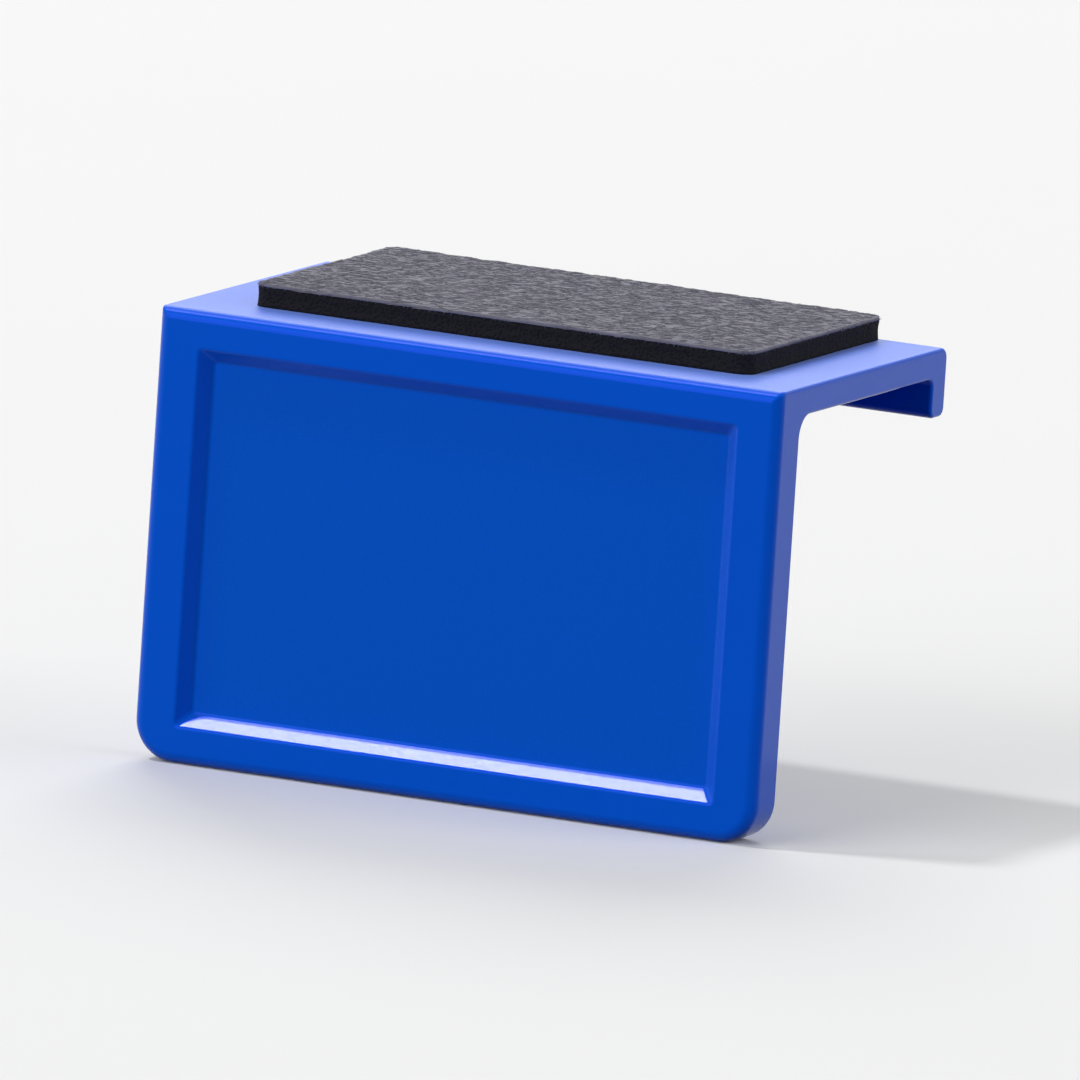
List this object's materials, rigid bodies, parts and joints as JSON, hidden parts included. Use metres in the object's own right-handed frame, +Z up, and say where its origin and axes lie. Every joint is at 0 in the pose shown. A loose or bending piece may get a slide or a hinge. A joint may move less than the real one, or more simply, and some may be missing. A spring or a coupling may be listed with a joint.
{
  "type": "webcam cover clip",
  "caption": "Hook-shaped plastic clip that hangs on a screen's upper edge, with a framed front plate that covers the camera and a cleaning pad on its top deck.",
  "frame": {"origin": "middle of the deck's underside, the face that sits on the screen's upper edge", "axes": "+X along the plate's width, to the right as seen from the front; +Y from the front plate back to the lip; +Z up"},
  "size_m": [0.03, 0.017, 0.0211],
  "materials": {
    "blue_plastic": "glossy moulded ABS",
    "pad_cloth": "short-pile cleaning cloth, die-cut"
  },
  "bodies": {
    "root": {"clip_body": "blue_plastic", "cleaning_pad": "pad_cloth"}
  },
  "joints": []
}
